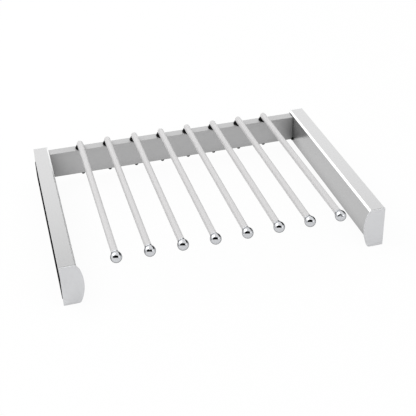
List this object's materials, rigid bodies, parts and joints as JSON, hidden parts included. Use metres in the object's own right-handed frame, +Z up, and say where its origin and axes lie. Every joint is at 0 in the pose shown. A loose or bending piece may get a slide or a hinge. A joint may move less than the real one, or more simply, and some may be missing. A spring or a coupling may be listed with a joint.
{
  "type": "pull out trouser rack",
  "caption": "Pull out trouser rack: aluminium side rails on ball bearing slides, joined at the back by a crossbar that carries sleeved rods with chrome ball ends.",
  "frame": {"origin": "centre of the footprint at the level of the lowest edge of the front caps", "axes": "+X to the right, +Y to the back of the wardrobe, +Z up; the rack pulls out along -Y"},
  "size_m": [0.564, 0.4295, 0.0982],
  "materials": {
    "rail_aluminium": "satin anodised extrusion",
    "bar_aluminium": "satin anodised tube",
    "cap_plastic": "pale grey moulded plastic, fine matt grain",
    "black_plastic": "black moulded plastic",
    "gloss_black": "glossy black moulded plastic",
    "slide_steel": "sheet steel with a thin black coat",
    "cage_steel": "thin zinc plated sheet steel",
    "bearing_steel": "polished bearing steel",
    "black_screws": "black coated steel",
    "zinc_screws": "zinc plated steel",
    "rod_steel": "bright drawn steel",
    "silver_sleeve": "silver grey grip sleeve with a milky gloss",
    "chrome": "polished chrome plate"
  },
  "bodies": {
    "cabinet_side": {"left_cabinet_member": "slide_steel", "right_cabinet_member": "slide_steel", "rear_bumpers": "black_plastic"},
    "rack": {"left_cover_profile": "rail_aluminium", "left_front_cap": "cap_plastic", "left_rear_plug": "cap_plastic", "left_corner_connector": "black_plastic", "left_drawer_member": "slide_steel", "right_cover_profile": "rail_aluminium", "right_front_cap": "cap_plastic", "right_rear_plug": "cap_plastic", "right_corner_connector": "black_plastic", "right_drawer_member": "slide_steel", "crossbar": "bar_aluminium", "rod_bolts": "black_screws", "corner_screws": "zinc_screws", "slide_screws": "zinc_screws", "cap_screws": "zinc_screws", "rod_1": "rod_steel", "sleeve_1": "silver_sleeve", "ball_end_1": "chrome", "saddle_1": "gloss_black", "rod_2": "rod_steel", "sleeve_2": "silver_sleeve", "ball_end_2": "chrome", "saddle_2": "gloss_black", "rod_3": "rod_steel", "sleeve_3": "silver_sleeve", "ball_end_3": "chrome", "saddle_3": "gloss_black", "rod_4": "rod_steel", "sleeve_4": "silver_sleeve", "ball_end_4": "chrome", "saddle_4": "gloss_black", "rod_5": "rod_steel", "sleeve_5": "silver_sleeve", "ball_end_5": "chrome", "saddle_5": "gloss_black", "rod_6": "rod_steel", "sleeve_6": "silver_sleeve", "ball_end_6": "chrome", "saddle_6": "gloss_black", "rod_7": "rod_steel", "sleeve_7": "silver_sleeve", "ball_end_7": "chrome", "saddle_7": "gloss_black", "rod_8": "rod_steel", "sleeve_8": "silver_sleeve", "ball_end_8": "chrome", "saddle_8": "gloss_black"},
    "left_middle": {"left_middle_member": "slide_steel"},
    "left_outer_cage_row": {"left_outer_cage": "cage_steel", "left_outer_balls": "bearing_steel"},
    "left_inner_cage_row": {"left_inner_cage": "cage_steel", "left_inner_balls": "bearing_steel"},
    "right_middle": {"right_middle_member": "slide_steel"},
    "right_outer_cage_row": {"right_outer_cage": "cage_steel", "right_outer_balls": "bearing_steel"},
    "right_inner_cage_row": {"right_inner_cage": "cage_steel", "right_inner_balls": "bearing_steel"}
  },
  "joints": [
    {"name": "rack_slide", "type": "slide", "parent": "cabinet_side", "child": "rack", "axis": [0, -1, 0], "range_m": [0, 0.38]},
    {"name": "left_middle_slide", "type": "slide", "parent": "cabinet_side", "child": "left_middle", "axis": [0, -1, 0], "range_m": [0, 0.191]},
    {"name": "left_outer_cage_row_slide", "type": "slide", "parent": "cabinet_side", "child": "left_outer_cage_row", "axis": [0, -1, 0], "range_m": [0, 0.096]},
    {"name": "left_inner_cage_row_slide", "type": "slide", "parent": "cabinet_side", "child": "left_inner_cage_row", "axis": [0, -1, 0], "range_m": [0, 0.286]},
    {"name": "right_middle_slide", "type": "slide", "parent": "cabinet_side", "child": "right_middle", "axis": [0, -1, 0], "range_m": [0, 0.191]},
    {"name": "right_outer_cage_row_slide", "type": "slide", "parent": "cabinet_side", "child": "right_outer_cage_row", "axis": [0, -1, 0], "range_m": [0, 0.096]},
    {"name": "right_inner_cage_row_slide", "type": "slide", "parent": "cabinet_side", "child": "right_inner_cage_row", "axis": [0, -1, 0], "range_m": [0, 0.286]}
  ],
  "couplings": [
    {"joint": "left_middle_slide", "follows": "rack_slide", "ratio": 0.5},
    {"joint": "left_outer_cage_row_slide", "follows": "rack_slide", "ratio": 0.25},
    {"joint": "left_inner_cage_row_slide", "follows": "rack_slide", "ratio": 0.75},
    {"joint": "right_middle_slide", "follows": "rack_slide", "ratio": 0.5},
    {"joint": "right_outer_cage_row_slide", "follows": "rack_slide", "ratio": 0.25},
    {"joint": "right_inner_cage_row_slide", "follows": "rack_slide", "ratio": 0.75}
  ]
}
